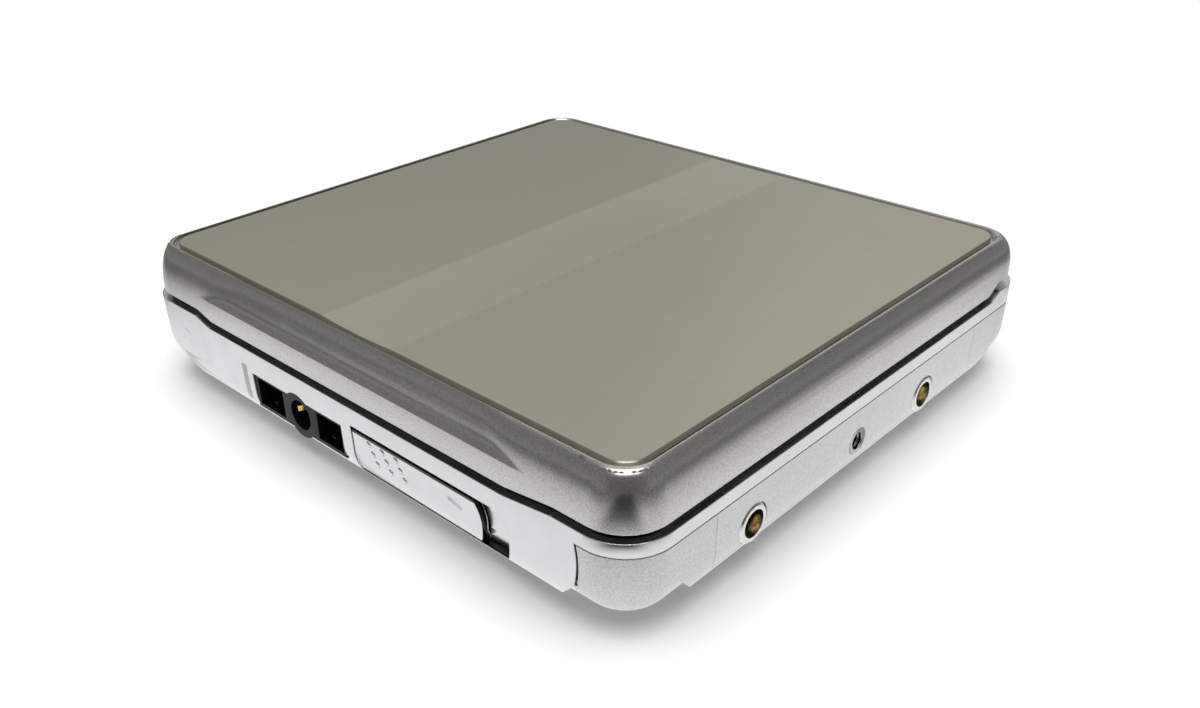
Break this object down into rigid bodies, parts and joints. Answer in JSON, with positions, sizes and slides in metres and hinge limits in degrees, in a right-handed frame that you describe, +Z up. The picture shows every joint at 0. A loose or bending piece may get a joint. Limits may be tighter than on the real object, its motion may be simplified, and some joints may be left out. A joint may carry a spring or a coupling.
{
  "type": "portable minidisc player",
  "caption": "Flat pocket disc player: hinged metal lid over a disc holder, opening slider and earphone socket in front, two charging terminals on the right, keys and battery door on the left.",
  "frame": {"origin": "on the underside, in the middle of the case seen from above", "axes": "+Z up, +X the player's right side with the two terminals, -Y the front where the lid opens; the lid is hinged along the back"},
  "size_m": [0.08, 0.0734, 0.0172],
  "materials": {
    "bright_metal": "polished, faint blue",
    "satin_case": "satin",
    "satin_panel": "satin",
    "satin_lid": "satin",
    "top_sheet": "fine metallic satin, warm grey",
    "seam_plastic": "matt dark grey",
    "smoked_lens": "smoked",
    "black_plastic": "matt",
    "white_plastic": "matt",
    "gilt": "gold plated",
    "spring_steel": "bare",
    "black_steel": "blackened",
    "polished_steel": "ground",
    "deck_steel": "zinc plated",
    "holder_steel": "stamped sheet",
    "motor_can": "nickel plated",
    "zinc": "die cast",
    "magnet": "sintered",
    "lens_glass": "coated",
    "rubber": "soft",
    "board": "green solder mask",
    "battery_wrap": "plain wrap",
    "key_plastic": "silver"
  },
  "bodies": {
    "case": {"front_frame": "bright_metal", "bottom_shell": "satin_case", "indicator_lens": "smoked_lens", "socket_housing": "black_plastic", "socket_contacts": "gilt", "side_panel": "satin_panel", "terminal_sleeves": "gilt", "terminal_contacts": "gilt", "fixing_bush": "black_plastic", "key_board": "board", "key_switches": "black_plastic", "battery": "battery_wrap", "battery_contacts": "spring_steel", "door_pin": "spring_steel", "hinge_pins": "spring_steel", "pivot_brackets": "spring_steel", "pivot_pins": "spring_steel", "main_board": "board", "board_chips": "black_plastic", "deck": "deck_steel", "deck_dampers": "rubber", "deck_screws": "spring_steel", "spindle_motor": "deck_steel", "guide_rods": "polished_steel", "rod_cradles": "black_plastic", "feed_motor": "motor_can", "case_screws": "black_steel", "slider_spring": "spring_steel"},
    "lid": {"lid_shell": "satin_lid", "top_plate": "top_sheet", "lid_frame": "seam_plastic", "lid_catches": "spring_steel"},
    "holder": {"disc_holder": "holder_steel"},
    "slider": {"open_slider": "bright_metal", "latch_plate": "spring_steel"},
    "rotor": {"spindle_rotor": "deck_steel", "turntable": "white_plastic", "clamp_magnet": "magnet"},
    "pickup": {"pickup_base": "zinc", "screw_follower": "white_plastic", "focus_magnets": "magnet"},
    "lens": {"lens_holder": "black_plastic", "objective_lens": "lens_glass"},
    "screw": {"lead_screw": "polished_steel", "screw_gear": "white_plastic"},
    "pinion": {"motor_pinion": "gilt", "motor_spindle": "polished_steel"},
    "stop": {"stop_key": "key_plastic"},
    "play": {"play_key": "key_plastic"},
    "skip": {"skip_key": "key_plastic"},
    "hold": {"hold_switch": "black_plastic"},
    "door": {"battery_door": "satin_case"}
  },
  "joints": [
    {"name": "lid_hinge", "type": "hinge", "parent": "case", "child": "lid", "pos_m": [0, 0.03565, 0.01213], "axis": [-1, 0, 0], "range_deg": [0, 50]},
    {"name": "holder_pivot", "type": "hinge", "parent": "case", "child": "holder", "pos_m": [0, 0.0322, 0.012], "axis": [-1, 0, 0], "range_deg": [0, 22.1]},
    {"name": "slider_travel", "type": "slide", "parent": "case", "child": "slider", "axis": [1, 0, 0], "range_m": [0, 0.0029], "stiffness_N_per_m": 150, "springref_m": -0.001, "deforming": ["slider_spring"]},
    {"name": "turntable_spin", "type": "hinge", "parent": "case", "child": "rotor", "pos_m": [0, -0.0003, 0.009], "axis": [0, 0, 1], "continuous": true},
    {"name": "pickup_feed", "type": "slide", "parent": "case", "child": "pickup", "axis": [1, 0, 0], "range_m": [0, 0.016]},
    {"name": "screw_spin", "type": "hinge", "parent": "case", "child": "screw", "pos_m": [0, -0.0133, 0.0059], "axis": [1, 0, 0], "range_deg": [0, 1921]},
    {"name": "pinion_spin", "type": "hinge", "parent": "case", "child": "pinion", "pos_m": [0, -0.01704, 0.0059], "axis": [1, 0, 0], "range_deg": [-4610, 0]},
    {"name": "lens_focus", "type": "slide", "parent": "pickup", "child": "lens", "axis": [0, 0, 1], "range_m": [-0.0003, 0.0003], "stiffness_N_per_m": 40},
    {"name": "stop_press", "type": "slide", "parent": "case", "child": "stop", "axis": [1, 0, 0], "range_m": [0, 0.0003], "stiffness_N_per_m": 400, "springref_m": -0.0003},
    {"name": "play_press", "type": "slide", "parent": "case", "child": "play", "axis": [1, 0, 0], "range_m": [0, 0.0003], "stiffness_N_per_m": 400, "springref_m": -0.0003},
    {"name": "skip_press", "type": "slide", "parent": "case", "child": "skip", "axis": [1, 0, 0], "range_m": [0, 0.0003], "stiffness_N_per_m": 400, "springref_m": -0.0003},
    {"name": "hold_travel", "type": "slide", "parent": "case", "child": "hold", "axis": [0, 1, 0], "range_m": [0, 0.002]},
    {"name": "battery_door_hinge", "type": "hinge", "parent": "case", "child": "door", "pos_m": [-0.03923, 0.01268, 0], "axis": [0, 0, 1], "range_deg": [0, 95]}
  ],
  "couplings": [
    {"joint": "holder_pivot", "follows": "lid_hinge", "ratio": 0.44},
    {"joint": "screw_spin", "follows": "pickup_feed", "rad_per_m": 2094.4},
    {"joint": "pinion_spin", "follows": "pickup_feed", "rad_per_m": -5026.5}
  ]
}
